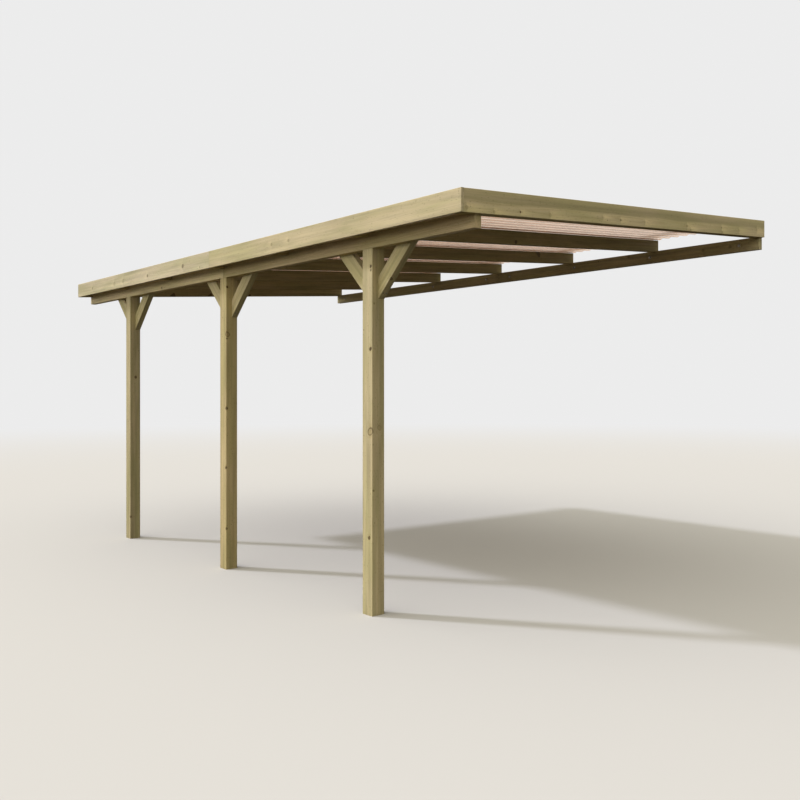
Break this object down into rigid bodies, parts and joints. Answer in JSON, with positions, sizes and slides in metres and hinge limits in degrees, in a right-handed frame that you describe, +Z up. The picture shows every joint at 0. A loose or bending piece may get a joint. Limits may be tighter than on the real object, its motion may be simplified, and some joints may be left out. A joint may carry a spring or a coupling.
{
  "type": "wall-mounted timber pergola",
  "caption": "Lean-to pergola of treated pine: posts with braces and a front beam, sloping rafters on a wall beam, fascia boards and a corrugated see-through roof.",
  "frame": {"origin": "centre of the wall beam's back face, which lies flat on the wall", "axes": "+X along the wall to the right seen from the front, +Y into the wall, +Z up"},
  "size_m": [5.14, 3.065, 2.5175],
  "materials": {
    "post_pine": "planed, pressure-treated, matt",
    "brace_pine": "planed, pressure-treated, matt",
    "beam_pine": "planed, pressure-treated, matt",
    "rafter_pine": "planed, pressure-treated, matt",
    "fascia_pine": "planed, pressure-treated, matt",
    "roof_sheet": "see-through, warm tint, corrugated",
    "fixing_steel": "zinc-plated; for the bolts and screws, which are not in the solids"
  },
  "bodies": {
    "root": {"post_left": "post_pine", "left_post_brace_left": "brace_pine", "left_post_brace_right": "brace_pine", "post_middle": "post_pine", "middle_post_brace_left": "brace_pine", "middle_post_brace_right": "brace_pine", "post_right": "post_pine", "right_post_brace_left": "brace_pine", "right_post_brace_right": "brace_pine", "front_beam_left": "beam_pine", "wall_beam_left": "beam_pine", "front_fascia_left": "fascia_pine", "side_fascia_left": "fascia_pine", "front_beam_right": "beam_pine", "wall_beam_right": "beam_pine", "front_fascia_right": "fascia_pine", "side_fascia_right": "fascia_pine", "rafter_1": "rafter_pine", "rafter_2": "rafter_pine", "rafter_3": "rafter_pine", "rafter_4": "rafter_pine", "rafter_5": "rafter_pine", "rafter_6": "rafter_pine", "rafter_7": "rafter_pine", "roof_sheet_1": "roof_sheet", "roof_sheet_2": "roof_sheet", "roof_sheet_3": "roof_sheet", "roof_sheet_4": "roof_sheet", "roof_sheet_5": "roof_sheet", "roof_sheet_6": "roof_sheet"}
  },
  "joints": []
}
